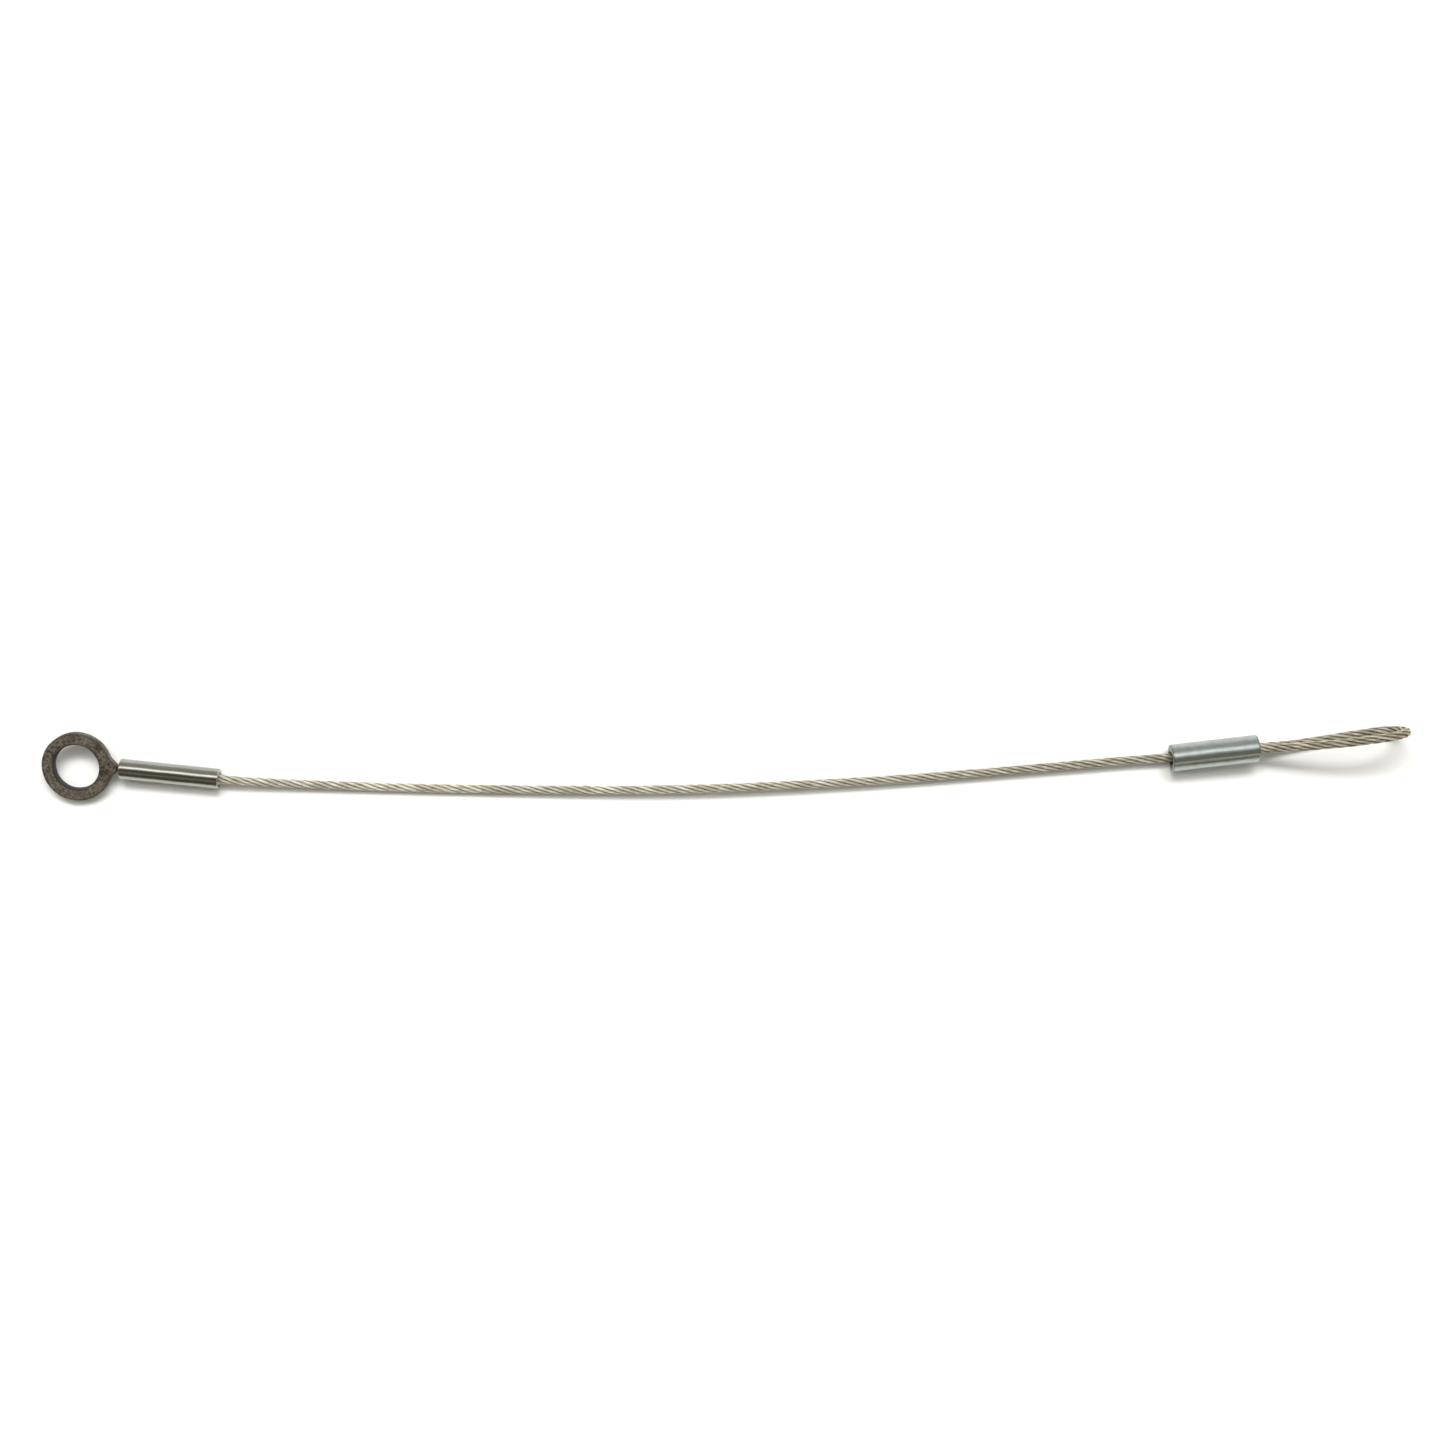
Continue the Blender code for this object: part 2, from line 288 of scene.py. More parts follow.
def drawn_lines_group():
    """Fine lines that drawing or pressing leaves along a turned piece, on its own axis."""
    s, given, out = shader_group(
        "drawn lines",
        [("Vector", "NodeSocketVector", None), ("Line Width", "NodeSocketFloat", 0.00008),
         ("Line Length", "NodeSocketFloat", 0.006)],
        [("Height", "NodeSocketFloat"), ("Streak", "NodeSocketFloat")],
    )
    across = s.maths("DIVIDE", 1.0, given["Line Width"])
    along = s.maths("DIVIDE", 1.0, given["Line Length"])
    split = s.add("ShaderNodeSeparateXYZ", {"Vector": given["Vector"]}).outputs
    squeezed = s.add("ShaderNodeCombineXYZ", {
        "X": s.maths("MULTIPLY", split["X"], along),
        "Y": s.maths("MULTIPLY", split["Y"], across),
        "Z": s.maths("MULTIPLY", split["Z"], across),
    }).outputs[0]
    lines = s.noise(squeezed, 1.0, 4.0, 0.7)
    broad = s.noise(squeezed, 0.18, 2.0, 0.5)
    height = s.maths("ADD", s.maths("MULTIPLY", lines, 0.5), s.maths("MULTIPLY", broad, 0.5))
    s.set(out, "Height", height)
    s.set(out, "Streak", s.spread(s.maths("MULTIPLY_ADD", broad, 0.7), 0.2, 0.5))
    return s.tree


def edge_wear_group():
    """Bare bright metal where an edge has rubbed, broken up by noise."""
    s, given, out = shader_group(
        "edge wear",
        [("Vector", "NodeSocketVector", None), ("Edge", "NodeSocketFloat", 0.0),
         ("Amount", "NodeSocketFloat", 0.5)],
        [("Mask", "NodeSocketFloat")],
    )
    broken = s.noise(given["Vector"], 2600.0, 3.0, 0.6)
    reach = s.maths("MULTIPLY", given["Edge"], given["Amount"])
    s.set(out, "Mask", s.spread(s.maths("ADD", reach, broken), 0.72, 1.02))
    return s.tree


def grease_and_shade_group():
    """Painted shade, with old grease and dust, where a surface lies deep between its neighbours."""
    s, given, out = shader_group(
        "grease_and_shade",
        [("Vector", "NodeSocketVector", None), ("Height Out", "NodeSocketFloat", 1.0),
         ("Amount", "NodeSocketFloat", 0.5)],
        [("Mask", "NodeSocketFloat")],
    )
    patchy = s.spread(s.noise(given["Vector"], 900.0, 3.0, 0.6), 0.3, 0.7, 0.6, 1.0)
    depth = s.spread(given["Height Out"], 0.70, 0.95, 1.0, 0.0)
    spotty = s.maths("MULTIPLY", depth, patchy)
    s.set(out, "Mask", s.maths("MULTIPLY", spotty, given["Amount"], clamp=True))
    return s.tree


GRAIN, LINES, WEAR, GREASE_AND_SHADE = grain_group(), drawn_lines_group(), edge_wear_group(), grease_and_shade_group()


def new_material(name):
    """A material, its shading helper, its shader, and the object coordinates that its patterns read."""
    material = bpy.data.materials.new(name)
    material.use_nodes = True
    s = Shading(material.node_tree)
    shader = material.node_tree.nodes["Principled BSDF"]
    place = s.add("ShaderNodeTexCoord").outputs["Object"]
    return material, s, shader, place


def own_axis(s, place, turned):
    """Object coordinates, read in a turned piece's own frame."""
    inputs = {"Vector": place, "Location": turned.translation[:], "Rotation": turned.to_euler()[:]}
    return s.add("ShaderNodeMapping", inputs, vector_type="TEXTURE").outputs[0]


def attribute(s, name):
    return s.add("ShaderNodeAttribute", attribute_name=name).outputs["Fac"]


def bump(s, shader, height, distance, strength=1.0):
    node = s.add("ShaderNodeBump", {"Height": height, "Distance": distance, "Strength": strength})
    s.set(shader, "Normal", node.outputs[0])


def heat_darkened_steel():
    """The ring's brown-black scale, with paler flecks, painted shade on its rounded edges and painted shade
    on the wall of its hole.
    """
    material, s, shader, place = new_material("heat_darkened_steel")
    grain = s.group(GRAIN, {"Vector": place, "Grain Size": 0.00046, "Mottle Size": 0.0026})
    wear = s.group(WEAR, {"Vector": place, "Edge": attribute(s, "edge"), "Amount": 0.30})["Mask"]
    scale_brown = s.mix(grain["Mottle"], (0.016, 0.015, 0.010, 1), (0.060, 0.049, 0.036, 1))
    fleck_strength = s.spread(grain["Mottle"], 0.0, 1.0, 0.7, 1.5)
    flecks = s.maths("MULTIPLY", grain["Speckle"], fleck_strength, clamp=True)
    speckled = s.mix(flecks, scale_brown, (0.225, 0.187, 0.145, 1))
    # Painted shade: the rounded edges and the rim's wall darken towards near-black.
    shaded_edges = s.mix(s.maths("MULTIPLY", attribute(s, "edge"), 0.6), speckled, (0.026, 0.023, 0.026, 1))
    worn = s.mix(s.maths("MULTIPLY", wear, 0.2), shaded_edges, (0.24, 0.22, 0.19, 1))
    # Painted shade: the wall of the hole, where the bore mark is high, is near-black.
    s.set(shader, "Base Color", s.mix(attribute(s, "bore"), worn, (0.022, 0.020, 0.022, 1)))
    s.set(shader, "Roughness", s.spread(grain["Mottle"], 0.0, 1.0, 0.66, 0.50))
    shader.inputs["Metallic"].default_value = 0.35
    bump(s, shader, grain["Height"], 0.00007, 0.9)
    return material


def satin_stainless(turned):
    """The barrel's drawn steel, with fine lines along it."""
    material, s, shader, place = new_material("satin_stainless")
    own = own_axis(s, place, turned)
    lines = s.group(LINES, {"Vector": own, "Line Width": 0.00009, "Line Length": 0.007})
    grain = s.group(GRAIN, {"Vector": place, "Grain Size": 0.00012, "Mottle Size": 0.0024})
    wear = s.group(WEAR, {"Vector": place, "Edge": attribute(s, "edge"), "Amount": 0.5})["Mask"]
    base = s.mix(lines["Streak"], (0.27, 0.265, 0.235, 1), (0.42, 0.415, 0.385, 1))
    dulled = s.mix(s.maths("MULTIPLY", grain["Mottle"], 0.25), base, (0.26, 0.25, 0.20, 1))
    s.set(shader, "Base Color", s.mix(s.maths("MULTIPLY", wear, 0.3), dulled, (0.60, 0.59, 0.56, 1)))
    s.set(shader, "Roughness", s.spread(lines["Streak"], 0.0, 1.0, 0.30, 0.20))
    shader.inputs["Metallic"].default_value = 1.0
    bump(s, shader, lines["Height"], 0.0000025, 0.5)
    return material


def zinc_plate(turned):
    """The ferrule's bluish plating, with painted shade on the rims and in the slot, and a brown band along
    the flash line that is partly grease, partly a painted reflection.
    """
    material, s, shader, place = new_material("zinc_plate")
    own = own_axis(s, place, turned)
    lines = s.group(LINES, {"Vector": own, "Line Width": 0.00013, "Line Length": 0.005})
    grain = s.group(GRAIN, {"Vector": place, "Grain Size": 0.00018, "Mottle Size": 0.0012})
    wear = s.group(WEAR, {"Vector": place, "Edge": attribute(s, "edge"), "Amount": 0.45})["Mask"]
    base = s.mix(grain["Mottle"], (0.33, 0.375, 0.365, 1), (0.47, 0.515, 0.505, 1))
    streaked = s.mix(s.maths("MULTIPLY", lines["Streak"], 0.35), base, (0.55, 0.585, 0.575, 1))
    worn = s.mix(s.maths("MULTIPLY", wear, 0.25), streaked, (0.60, 0.62, 0.61, 1))
    # Along the flash line, a brown, less metallic band: partly old grease, partly a painted reflection of a
    # band in the surroundings.
    grease_and_reflection = s.maths("MULTIPLY", attribute(s, "flash"), s.spread(grain["Mottle"], 0.2, 0.8, 0.95, 0.6))
    # Painted shade: the rounded rims darken towards a dark grey.
    shaded_rims = s.mix(s.maths("MULTIPLY", attribute(s, "edge"), 0.65), worn, (0.15, 0.158, 0.152, 1))
    with_grease_and_reflection = s.mix(grease_and_reflection, shaded_rims, (0.25, 0.20, 0.125, 1))
    # Painted shade: the slot's walls, where the bore mark is high, are near-black.
    s.set(shader, "Base Color", s.mix(attribute(s, "bore"), with_grease_and_reflection, (0.05, 0.047, 0.040, 1)))
    s.set(shader, "Roughness", s.spread(grain["Speckle"], 0.0, 1.0, 0.33, 0.39))
    s.set(shader, "Metallic", s.maths("SUBTRACT", 1.0, grease_and_reflection))
    skin = s.maths("ADD", lines["Height"], s.maths("MULTIPLY", grain["Height"], 0.06))
    bump(s, shader, skin, 0.000003, 0.5)
    return material


def rope_wire():
    """Bright wires with painted shade and old grease between the strands, darker towards the loop."""
    material, s, shader, place = new_material("rope_wire")
    along = s.add("ShaderNodeSeparateXYZ", {"Vector": place}).outputs["X"]
    # Darker towards the loop: the wires' colours darken there, and the painted shade reaches further out
    # between the strands.
    towards_loop = s.spread(along, 0.0, LOOP_END_X)
    height_out = s.maths("SUBTRACT", attribute(s, "crown"), s.maths("MULTIPLY", towards_loop, 0.055))
    grease_and_shade = s.group(GREASE_AND_SHADE, {"Vector": place, "Height Out": height_out, "Amount": 0.95})["Mask"]
    grain = s.group(GRAIN, {"Vector": place, "Grain Size": 0.00010, "Mottle Size": 0.0030})
    dull_wire = s.mix(towards_loop, (0.62, 0.585, 0.47, 1), (0.27, 0.235, 0.165, 1))
    bright_wire = s.mix(towards_loop, (0.96, 0.94, 0.82, 1), (0.80, 0.755, 0.62, 1))
    tone = s.mix(attribute(s, "wire_tone"), dull_wire, bright_wire)
    dusty = s.mix(s.spread(grain["Mottle"], 0.40, 0.75, 0.0, 0.45), tone, (0.42, 0.34, 0.24, 1))
    # Painted shade, with grease, deep between the strands: near-black there.
    s.set(shader, "Base Color", s.mix(grease_and_shade, dusty, (0.040, 0.026, 0.018, 1)))
    s.set(shader, "Roughness", s.spread(grease_and_shade, 0.0, 1.0, 0.32, 0.70))
    shader.inputs["Metallic"].default_value = 0.32
    bump(s, shader, grain["Height"], 0.000004, 0.5)
    return material


def white_paper():
    """The plain floor."""
    material, s, shader, place = new_material("white_paper")
    fibres = s.noise(place, 1500.0, 4.0, 0.6)
    s.set(shader, "Base Color", s.mix(fibres, (0.86, 0.86, 0.86, 1), (0.90, 0.90, 0.90, 1)))
    shader.inputs["Roughness"].default_value = 0.85
    return material


# ---------------------------------------------------------------- mesh helpers

def piece_from(name, points, faces, material, marks):
    """A smooth piece on the frame. marks are the point attributes that its material reads."""
    mesh = bpy.data.meshes.new(name)
    mesh.from_pydata([tuple(p) for p in points], [], faces)
    mesh.validate()
    mesh.shade_smooth()
    mesh.materials.append(material)
    for label, values in marks.items():
        mark = mesh.attributes.new(label, "FLOAT", "POINT")
        mark.data.foreach_set("value", np.asarray(values, np.float32))
    mesh.update()
    obj = bpy.data.objects.new(name, mesh)
    bpy.context.scene.collection.objects.link(obj)
    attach(obj, "root")
    return obj


def looped_faces(rows, columns, wrap_rows=True):
    """Quads between rows of points, each row closed, and the last row joined to the first where asked."""
    faces = []
    for i in range(rows if wrap_rows else rows - 1):
        below = (i + 1) % rows
        for j in range(columns):
            k = (j + 1) % columns
            here, under = i * columns, below * columns
            faces.append((here + j, under + j, under + k, here + k))
    return faces


def corner(centre_x, centre_r, radius, start, stop, steps=4):
    """Points round a rounded edge of a profile, from one angle to another, in degrees."""
    angles = np.radians(np.linspace(start, stop, steps + 1))
    return [(centre_x + radius * math.cos(a), centre_r + radius * math.sin(a)) for a in angles]


def turned_rows(profile, outline, steps):
    """Rows round local X from (x, r, part) profile points; outline gives each part's radius at an angle."""
    angles = np.linspace(0.0, 2 * math.pi, steps, endpoint=False) - math.pi / 2
    rows = []
    for x, r, part in profile:
        radii = np.array([outline(r, part, x, a) for a in angles])
        rows.append(np.stack([np.full(steps, x), radii * np.cos(angles), radii * np.sin(angles)], axis=1))
    return np.concatenate(rows)


def placed(points, turned):
    """Points of a turned frame, in the world."""
    turn = np.array(turned.to_3x3())
    return points @ turn.T + np.array(turned.translation)


# ---------------------------------------------------------------- the rope

def geometry_tree(name, inputs):
    """A Geometry Nodes tree with named inputs after its geometry. inputs are (name, kind, default)."""
    tree = bpy.data.node_groups.new(name, "GeometryNodeTree")
    tree.interface.new_socket("Geometry", in_out="INPUT", socket_type="NodeSocketGeometry")
    for label, kind, default in inputs:
        socket = tree.interface.new_socket(label, in_out="INPUT", socket_type=kind)
        if default is not None:
            socket.default_value = default
    tree.interface.new_socket("Geometry", in_out="OUTPUT", socket_type="NodeSocketGeometry")
    s = Shading(tree)
    return s, s.add("NodeGroupInput").outputs, s.add("NodeGroupOutput")


def laid(s, curve, radius, lay, phase):
    """The curve, wound into a helix round where it was. A negative lay is left-handed."""
    tangent = s.add("GeometryNodeInputTangent").outputs[0]
    normal = s.add("GeometryNodeInputNormal").outputs[0]
    side = s.add("ShaderNodeVectorMath", {0: tangent, 1: normal}, operation="CROSS_PRODUCT").outputs[0]
    run = s.add("GeometryNodeSplineParameter").outputs["Length"]
    turns = s.maths("DIVIDE", run, lay)
    angle = s.maths("ADD", s.maths("MULTIPLY", turns, 2 * math.pi), phase)
    parts = []
    for axis, share in ((normal, s.maths("COSINE", angle)), (side, s.maths("SINE", angle))):
        reach = s.maths("MULTIPLY", share, radius)
        parts.append(s.add("ShaderNodeVectorMath", {0: axis, "Scale": reach}, operation="SCALE").outputs[0])
    offset = s.add("ShaderNodeVectorMath", {0: parts[0], 1: parts[1]}, operation="ADD").outputs[0]
    return s.add("GeometryNodeSetPosition", {"Geometry": curve, "Offset": offset}).outputs[0]


def stored(s, geometry, name, value, kind, domain):
    """The geometry with a value kept on it under a name."""
    inputs = {"Geometry": geometry, "Name": name, "Value": value}
    return s.add("GeometryNodeStoreNamedAttribute", inputs, data_type=kind, domain=domain).outputs[0]


def strand_tree():
    """One strand along a line: wires wound round the strand's middle, which is wound round the line."""
    s, given, out = geometry_tree("laid strand", [
        ("Strand Circle", "NodeSocketFloat", STRAND_DIAMETER),
        ("Rope Lay", "NodeSocketFloat", ROPE_LAY),
        ("Strand Phase", "NodeSocketFloat", 0.0),
        ("Wire Circle", "NodeSocketFloat", WIRE_DIAMETER),
        ("Strand Lay", "NodeSocketFloat", -STRAND_LAY),
        ("Wire Radius", "NodeSocketFloat", WIRE_DIAMETER / 2),
        ("Wires", "NodeSocketInt", WIRES),
        ("Wire Sides", "NodeSocketInt", WIRE_SIDES),
        ("Rope Radius", "NodeSocketFloat", ROPE_DIAMETER / 2),
        ("Seed", "NodeSocketInt", 7),
        ("Material", "NodeSocketMaterial", None),
    ])
    line = s.add("GeometryNodeMeshToCurve", {"Mesh": given["Geometry"]}).outputs[0]
    place = s.add("GeometryNodeInputPosition").outputs[0]
    keep = stored(s, line, "middle", place, "FLOAT_VECTOR", "POINT")
    middle = laid(s, keep, given["Strand Circle"], given["Rope Lay"], given["Strand Phase"])
    repeated = {"Geometry": middle, "Amount": given["Wires"]}
    copies = s.add("GeometryNodeDuplicateElements", repeated, domain="SPLINE")
    index = copies.outputs["Duplicate Index"]
    tone = s.add("FunctionNodeRandomValue", {"ID": index, "Seed": given["Seed"]}, data_type="FLOAT")
    toned = stored(s, copies.outputs["Geometry"], "wire_tone", tone.outputs[1], "FLOAT", "CURVE")
    numbered = stored(s, toned, "wire_number", index, "FLOAT", "CURVE")
    number = s.add("GeometryNodeInputNamedAttribute", {"Name": "wire_number"}, data_type="FLOAT").outputs[0]
    share = s.maths("DIVIDE", number, given["Wires"])
    wire_phase = s.maths("MULTIPLY", share, 2 * math.pi)
    wires = laid(s, numbered, given["Wire Circle"], given["Strand Lay"], wire_phase)
    section = {"Resolution": given["Wire Sides"], "Radius": given["Wire Radius"]}
    round_wire = s.add("GeometryNodeCurvePrimitiveCircle", section, mode="RADIUS").outputs[0]
    swept = {"Curve": wires, "Profile Curve": round_wire, "Fill Caps": True}
    skin = s.add("GeometryNodeCurveToMesh", swept).outputs[0]
    was = s.add("GeometryNodeInputNamedAttribute", {"Name": "middle"}, data_type="FLOAT_VECTOR").outputs[0]
    out_by = s.add("ShaderNodeVectorMath", {0: place, 1: was}, operation="DISTANCE").outputs["Value"]
    height_out = s.maths("DIVIDE", out_by, given["Rope Radius"])
    crown = stored(s, skin, "crown", height_out, "FLOAT", "POINT")
    for name in ("middle", "wire_number"):
        crown = s.add("GeometryNodeRemoveAttribute", {"Geometry": crown, "Name": name}).outputs[0]
    smooth = s.add("GeometryNodeSetShadeSmooth", {"Geometry": crown}).outputs[0]
    real = s.add("GeometryNodeRealizeInstances", {"Geometry": smooth}).outputs[0]
    painted = s.add("GeometryNodeSetMaterial", {"Geometry": real, "Material": given["Material"]}).outputs[0]
    s.set(out, "Geometry", painted)
    return s.tree


def grown(name, tree, line, values):
    """The plain mesh that a Geometry Nodes tree makes of a line of points."""
    base = bpy.data.meshes.new(name + "_line")
    base.from_pydata([tuple(p) for p in line], [(i, i + 1) for i in range(len(line) - 1)], [])
    seed = bpy.data.objects.new(name + "_line", base)
    bpy.context.scene.collection.objects.link(seed)
    modifier = seed.modifiers.new("nodes", "NODES")
    modifier.node_group = tree
    for item in tree.interface.items_tree:
        if item.in_out == "INPUT" and item.name in values:
            modifier[item.identifier] = values[item.name]
    evaluated = seed.evaluated_get(bpy.context.evaluated_depsgraph_get())
    mesh = bpy.data.meshes.new_from_object(evaluated)
    seed.modifiers.remove(modifier)
    bpy.data.objects.remove(seed)
    mesh.name = name
    obj = bpy.data.objects.new(name, mesh)
    bpy.context.scene.collection.objects.link(obj)
    return obj


def make_rope(line):
    """The strands, as separate pieces, and the cord that they make together."""
    tree, material = strand_tree(), rope_wire()
    strands = []
    for i in range(STRANDS):
        values = {"Strand Phase": 2 * math.pi * i / STRANDS, "Seed": FIRST_SEED + i, "Material": material}
        strands.append(grown(f"rope_strand_{i + 1}", tree, line, values))
    core = {"Strand Circle": 0.0, "Wire Sides": CORE_WIRE_SIDES, "Seed": CORE_SEED, "Material": material}
    strands.append(grown("rope_core_strand", tree, line[::2], core))
    for strand in strands:
        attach(strand, "root")
    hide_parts("wire_rope")


# ---------------------------------------------------------------- the metal fittings

def waver(points, amount, size, seed):
    """Points pushed about a little by smooth noise, as a forging's skin is, and the same way each run."""
    noise.seed_set(seed)
    moved = []
    for p in points:
        at = Vector(p) / size + Vector((seed, seed, seed))
        moved.append(Vector(p) + amount * Vector(noise.noise_vector(at)))
    return np.array([tuple(p) for p in moved])


def eye_outline(angle):
    """The ring's rim, drawn out into the pointed neck on its barrel side."""
    rim = EYE_OUTER_DIAMETER / 2
    if not NECK_LOWER_ANGLE < angle < NECK_UPPER_ANGLE:
        return rim
    tip_x = rim + NECK_LENGTH
    corners = [
        (tip_x, -EYE_OFFSET + NECK_TIP_WIDTH / 2),
        (rim * math.cos(NECK_UPPER_ANGLE), rim * math.sin(NECK_UPPER_ANGLE)),
        (tip_x, -EYE_OFFSET - NECK_TIP_WIDTH / 2),
        (rim * math.cos(NECK_LOWER_ANGLE), rim * math.sin(NECK_LOWER_ANGLE)),
    ]
    sides = [(corners[0], corners[1]), (corners[3], corners[2]), (corners[2], corners[0])]
    reaches = []
    for (ax, ay), (bx, by) in sides:
        run_x, run_y = bx - ax, by - ay
        reaches.append((ax * run_y - ay * run_x) / (math.cos(angle) * run_y - math.sin(angle) * run_x))
    return max(rim, min(r for r in reaches if r > 0))


def make_eye(barrel):
    """The flat ring with its neck and stem, edges rounded over, skin slightly uneven."""
    material = heat_darkened_steel()
    half, hole, steps, soft = EYE_THICKNESS / 2, EYE_HOLE_DIAMETER / 2, EYE_STEPS, EYE_EDGE_ROUND
    round_over = np.radians([0, 22.5, 45, 67.5, 90])
    section = [("hole", soft * (1 - math.cos(a)), half - soft + soft * math.sin(a)) for a in round_over]
    section += [("across", share, half) for share in (0.25, 0.5, 0.75)]
    section += [("rim", soft * (1 - math.sin(a)), half - soft + soft * math.cos(a)) for a in round_over]
    section += [("rim", 0.0, 0.0)]
    section += [("rim", soft * (1 - math.cos(a)), soft - half - soft * math.sin(a)) for a in round_over]
    section += [("across", share, -half) for share in (0.75, 0.5, 0.25)]
    section += [("hole", soft * (1 - math.sin(a)), soft - half - soft * math.cos(a)) for a in round_over]
    section += [("hole", 0.0, 0.0)]
    angles = np.linspace(-math.pi, math.pi, steps, endpoint=False)
    rims = np.array([eye_outline(a) for a in angles])
    rims = np.convolve(np.concatenate([rims[-2:], rims, rims[:2]]), [0.1, 0.25, 0.3, 0.25, 0.1], "valid")
    points, edge, bore = [], [], []
    for side, value, height in section:
        flat = hole + soft + (rims - 2 * soft - hole) * value
        radii = {"hole": hole + value, "rim": rims - value, "across": flat}[side] * np.ones(steps)
        row = [radii * np.cos(angles), radii * np.sin(angles), np.full(steps, height)]
        points.append(np.stack(row, axis=1))
        turning = side != "across" and 0.02 < value / soft < 0.98
        edge += [1.0 if turning else 0.25 if side != "across" and height else 0.0] * steps
        # The bore mark is high on the wall of the hole, which the material paints with shade.
        bore += [1.0 - value / soft if side == "hole" else 0.0] * steps
    points = waver(np.concatenate(points), EYE_WAVER, EYE_WAVER_SIZE, EYE_WAVER_SEED)
    faces = looped_faces(len(section), steps)
    centre_x = -EYE_OUTER_DIAMETER / 2 - NECK_LENGTH - BUTT_GAP
    points = placed(points, Matrix.Translation((centre_x, EYE_OFFSET, 0)))
    stem, stem_faces = eye_stem(len(points))
    points = placed(np.concatenate([points, stem]), barrel)
    marks = {"edge": edge + [0.3] * len(stem), "bore": bore + [0.0] * len(stem)}
    eye = piece_from("eye_ring_forged", points, faces + stem_faces, material, marks)
    outward(eye)
    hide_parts("eye_ring")


def eye_stem(first):
    """The stem from inside the neck into the barrel, thick inside it. Its points are numbered from first."""
    radius, steps = ROPE_DIAMETER / 2, STEM_STEPS
    profile = [(-NECK_LENGTH, 0.25 * radius), (-BUTT_GAP, 0.5 * radius), (-0.0001, 0.62 * radius)]
    profile += [(0.0, radius)]
    profile += [(STEM_DEPTH - 0.2 * radius, radius), (STEM_DEPTH, 0.8 * radius)]
    rows = turned_rows([(x, r, "") for x, r in profile], lambda r, part, x, a: r, steps)
    faces = looped_faces(len(profile), steps, wrap_rows=False)
    last = (len(profile) - 1) * steps
    faces += [tuple(range(steps)), tuple(range(last, last + steps))[::-1]]
    return rows, [tuple(first + i for i in face) for face in faces]


def outward(obj):
    """Turns the faces of a closed piece so that they all point out."""
    bm = bmesh.new()
    bm.from_mesh(obj.data)
    bmesh.ops.recalc_face_normals(bm, faces=bm.faces)
    bm.to_mesh(obj.data)
    bm.free()


def make_barrel(barrel, length):
    """The swaged barrel: nose rounded over, drawn body, and a countersunk mouth for the rope."""
    outer, bore = BARREL_DIAMETER / 2, ROPE_DIAMETER / 2 + SWAGE_GAP
    nose, lip, steps = NOSE_ROUND, MOUTH_LIP, BARREL_STEPS
    profile = corner(nose, outer - nose, nose, 180, 90, 6)
    body = np.linspace(nose, length - lip, 60)[1:-1]
    profile += [(x, outer) for x in body]
    profile += corner(length - lip, outer - lip, lip, 90, 0, 5)
    profile += [(length, bore + 2 * lip), (length - 0.6 * lip, bore + lip), (length - 2.5 * lip, bore)]
    profile += [(x, bore) for x in np.linspace(length - 2.5 * lip, lip, 8)[1:]]
    profile += [(0.0, bore + lip)]

    def outline(r, part, x, a):
        if r < outer - NEAR:
            return r
        swaged = math.sin(2 * a + 0.6) * math.sin(900 * x) + math.sin(3 * a + 900 * x)
        return r - BARREL_WAVER * (1 + 0.5 * swaged)

    rows = turned_rows([(x, r, "") for x, r in profile], outline, steps)
    edge = [1.0 if r > bore + lip and (x < nose or x > length - lip) else 0.0 for x, r in profile]
    piece = piece_from("swaged_barrel", placed(rows, barrel), looped_faces(len(profile), steps),
                       satin_stainless(barrel), {"edge": np.repeat(edge, steps)})
    outward(piece)
    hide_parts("barrel")


def slot_radius(angle, radius, pitch):
    """A slot with round ends, standing along local Z."""
    across, along = abs(math.cos(angle)), abs(math.sin(angle))
    half_pitch = pitch / 2
    if across * half_pitch >= along * radius:
        return radius / across
    return half_pitch * along + math.sqrt(radius ** 2 - (half_pitch * across) ** 2)


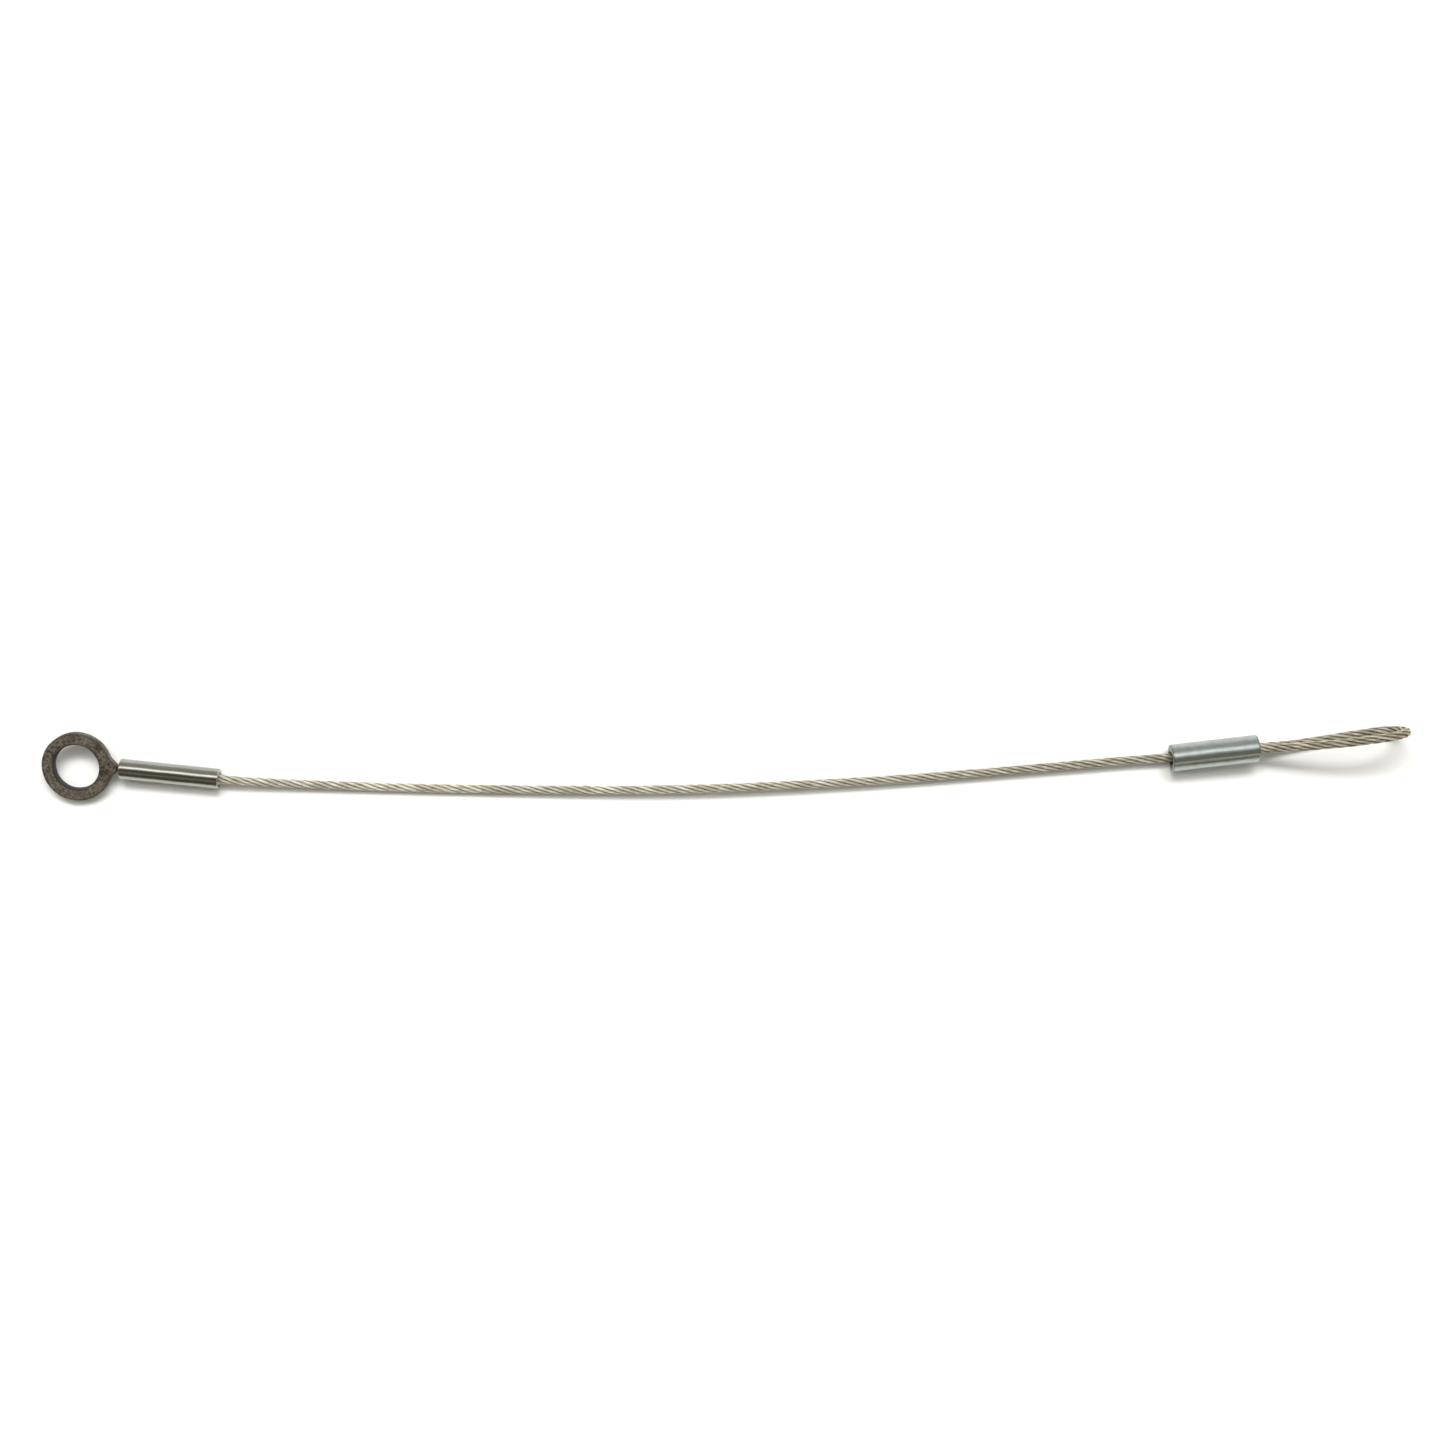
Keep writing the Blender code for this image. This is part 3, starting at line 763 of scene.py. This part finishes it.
def make_ferrule(ferrule, length):
    """The crimped ferrule: round-ended slot for both legs, and a faint flash line down each side."""
    outer, bore, pitch = FERRULE_DIAMETER / 2, ROPE_DIAMETER / 2 + SWAGE_GAP, ROPE_DIAMETER + LEG_GAP
    soft, lip, steps = FERRULE_EDGE_ROUND, SLOT_LIP, FERRULE_STEPS
    profile = [(x, r, "skin") for x, r in corner(soft, outer - soft, soft, 180, 90, 6)]
    profile += [(x, outer, "skin") for x in np.linspace(soft, length - soft, 50)[1:-1]]
    profile += [(x, r, "skin") for x, r in corner(length - soft, outer - soft, soft, 90, 0, 6)]
    slot = [(length, bore + lip), (length - lip, bore)]
    slot += [(x, bore) for x in np.linspace(length - lip, lip, 6)[1:]]
    profile += [(x, r, "slot") for x, r in slot + [(0.0, bore + lip)]]

    def flash(a):
        off_line = (math.degrees(a) - FLASH_ANGLE + 90) % 180 - 90
        return math.exp(-(off_line / FLASH_HALF_WIDTH) ** 2)

    def outline(r, part, x, a):
        if part == "slot":
            return slot_radius(a, r, pitch)
        pressed = FERRULE_WAVER * (math.sin(2 * a + 200 * x) + math.sin(5 * a - 500 * x) / 3)
        return r + FLASH_HEIGHT * flash(a) - FERRULE_INSET + pressed * (r > outer - NEAR)

    rows = turned_rows(profile, outline, steps)
    edge = [1.0 if part == "skin" and (x < soft or x > length - soft) else 0.0 for x, r, part in profile]
    angles = np.linspace(0.0, 2 * math.pi, steps, endpoint=False) - math.pi / 2
    along = [flash(a) for a in angles]
    marks = {
        "edge": np.repeat(edge, steps),
        "flash": np.concatenate([along if part == "skin" else [0.0] * steps for x, r, part in profile]),
        # The bore mark is high on the slot's walls, which the material paints with shade.
        "bore": np.repeat([1.0 if part == "slot" else 0.0 for x, r, part in profile], steps),
    }
    piece = piece_from("crimped_ferrule", placed(rows, ferrule), looped_faces(len(profile), steps),
                       zinc_plate(ferrule), marks)
    outward(piece)
    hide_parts("crimp_ferrule")


# ---------------------------------------------------------------- the room

def make_floor():
    """A plain white surface under the object, for the picture only."""
    half = FLOOR_HALF
    mesh = bpy.data.meshes.new("floor")
    corners = [(-half, -half, 0), (half, -half, 0), (half, half, 0), (-half, half, 0)]
    mesh.from_pydata(corners, [], [(0, 1, 2, 3)])
    mesh.materials.append(white_paper())
    floor = bpy.data.objects.new("floor", mesh)
    bpy.context.scene.collection.objects.link(floor)


def soft_light(name, azimuth, elevation, size, energy, colour):
    """A lamp aimed at the origin. Metal doesn't reflect it: the sky gives the bright and dark bands there."""
    light = bpy.data.lights.new(name, "AREA")
    light.shape = "ELLIPSE"
    light.size, light.size_y = size
    light.energy = energy
    light.color = colour
    lamp = bpy.data.objects.new(name, light)
    turn = Euler((math.radians(90 - elevation), 0, math.radians(azimuth + 90)), "XYZ")
    lamp.rotation_euler = turn
    lamp.location = turn.to_matrix() @ Vector((0, 0, LAMP_DISTANCE))
    lamp.visible_glossy = False
    bpy.context.scene.collection.objects.link(lamp)


# How bright the sky is at each lean from overhead, in degrees, from the front (-Y) to the back (+Y)
SKY_BANDS = [
    (-90, (0.34, 0.335, 0.29)),
    (-78, (0.14, 0.138, 0.10)),
    (-66, (0.085, 0.082, 0.058)),
    (-54, (0.10, 0.097, 0.068)),
    (-44, (0.21, 0.205, 0.15)),
    (-36, (0.29, 0.28, 0.21)),
    (-30, (0.27, 0.26, 0.20)),
    (-22, (0.14, 0.135, 0.105)),
    (-10, (0.075, 0.072, 0.064)),
    (0, (0.11, 0.108, 0.10)),
    (8, (0.42, 0.41, 0.39)),
    (14, (1.50, 1.47, 1.41)),
    (19, (2.90, 2.84, 2.74)),
    (24, (2.90, 2.84, 2.74)),
    (31, (1.10, 1.08, 1.04)),
    (38, (0.46, 0.45, 0.42)),
    (48, (0.36, 0.36, 0.33)),
    (63, (0.43, 0.435, 0.405)),
    (76, (0.56, 0.57, 0.55)),
    (90, (0.66, 0.67, 0.66)),
]
BACKDROP = (0.86, 0.865, 0.87, 1)


def make_room():
    """A banded sky, plain behind the object, and two soft lamps."""
    world = bpy.data.worlds.new("studio")
    world.use_nodes = True
    bpy.context.scene.world = world
    s = Shading(world.node_tree)
    way = s.add("ShaderNodeSeparateXYZ", {"Vector": s.add("ShaderNodeTexCoord").outputs["Generated"]}).outputs
    lean = s.maths("ARCTAN2", way["Y"], s.maths("ABSOLUTE", way["Z"]))
    ramp = s.add("ShaderNodeValToRGB", {"Fac": s.spread(lean, -math.pi / 2, math.pi / 2)})
    elements = ramp.color_ramp.elements
    for _ in SKY_BANDS[2:]:
        elements.new(0.5)
    for element in elements:
        element.position = 0.0
    for element, (degrees, colour) in reversed(list(zip(elements, SKY_BANDS))):
        element.position = (degrees + 90) / 180
        element.color = (*colour, 1)
    seen = s.add("ShaderNodeLightPath").outputs["Is Camera Ray"]
    background = world.node_tree.nodes["Background"]
    s.set(background, "Color", s.mix(seen, ramp.outputs["Color"], BACKDROP))
    background.inputs["Strength"].default_value = 1.0
    soft_light("window_light", 89, 56, size=(2.60, 0.75), energy=78.0, colour=(1.0, 0.995, 0.98))
    soft_light("fill_light", -80, 62, size=(3.00, 2.25), energy=8.0, colour=(0.96, 1.0, 0.99))
    bpy.context.scene.view_settings.view_transform = "Standard"


def make_camera():
    """A camera straight above the object."""
    data = bpy.data.cameras.new("camera")
    data.lens, data.sensor_width = CAMERA_LENS, CAMERA_SENSOR
    data.clip_start = 0.01
    camera = bpy.data.objects.new("camera", data)
    camera.location = CAMERA_PLACE
    bpy.context.scene.collection.objects.link(camera)
    bpy.context.scene.camera = camera


make_camera()
barrel_start, barrel_length = axis_frame("barrel")
ferrule_start, ferrule_length = axis_frame("crimp_ferrule", FERRULE_ROLL)
whole = smooth_curve(rope_route(barrel_start, barrel_length, ferrule_start, ferrule_length))
rope_line, rope_length = evenly(whole, WIRE_STEP)
make_rope(rope_line)
rolled_barrel = barrel_start @ Matrix.Rotation(eye_roll(barrel_start), 4, "X")
make_eye(rolled_barrel)
make_barrel(rolled_barrel, barrel_length)
make_ferrule(ferrule_start, ferrule_length)
make_floor()
make_room()
